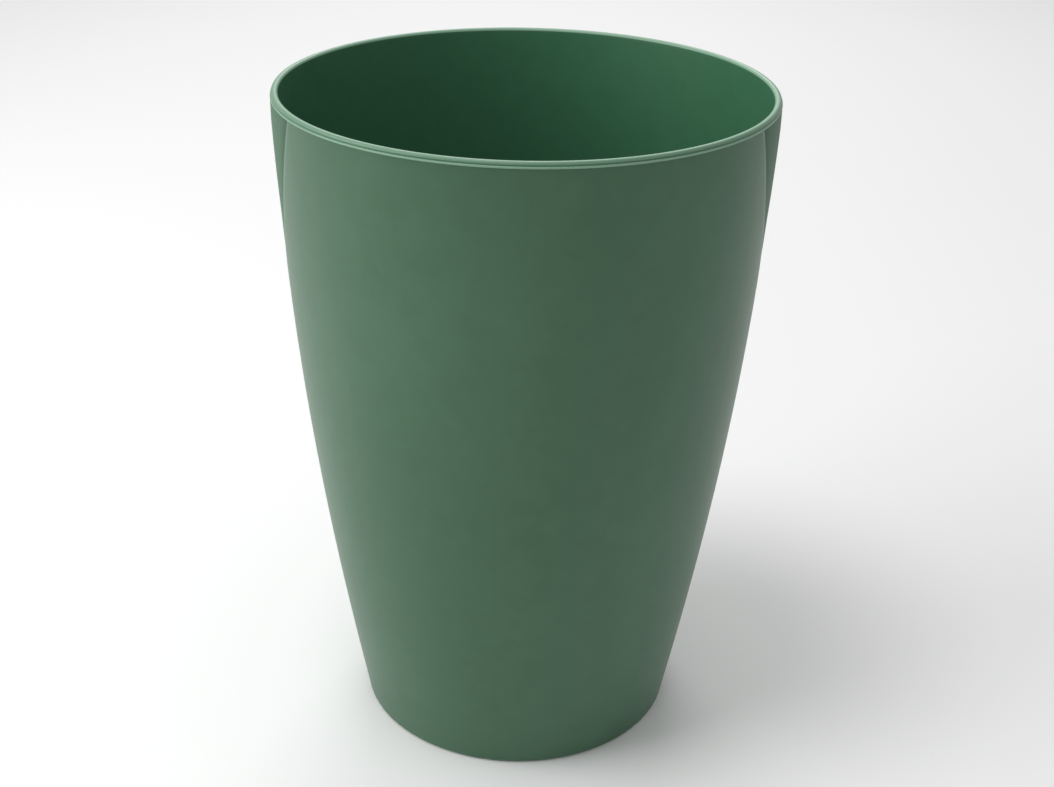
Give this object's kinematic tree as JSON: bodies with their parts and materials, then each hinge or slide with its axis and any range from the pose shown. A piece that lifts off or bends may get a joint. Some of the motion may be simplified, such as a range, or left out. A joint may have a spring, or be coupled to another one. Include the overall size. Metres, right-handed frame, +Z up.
{
  "type": "florist bucket",
  "caption": "Tall round tapered bucket with a stepped rim, bowed wall and V-shaped side grips, for standing cut flowers in water.",
  "frame": {"origin": "middle of the foot ring's resting plane", "axes": "+Z up along the bucket's axis, towards the mouth; the side grips lie on +X and -X"},
  "size_m": [0.2146, 0.2146, 0.3],
  "materials": {
    "sage_plastic": "satin sage green moulded plastic"
  },
  "bodies": {
    "root": {"bucket_shell": "sage_plastic"}
  },
  "joints": []
}
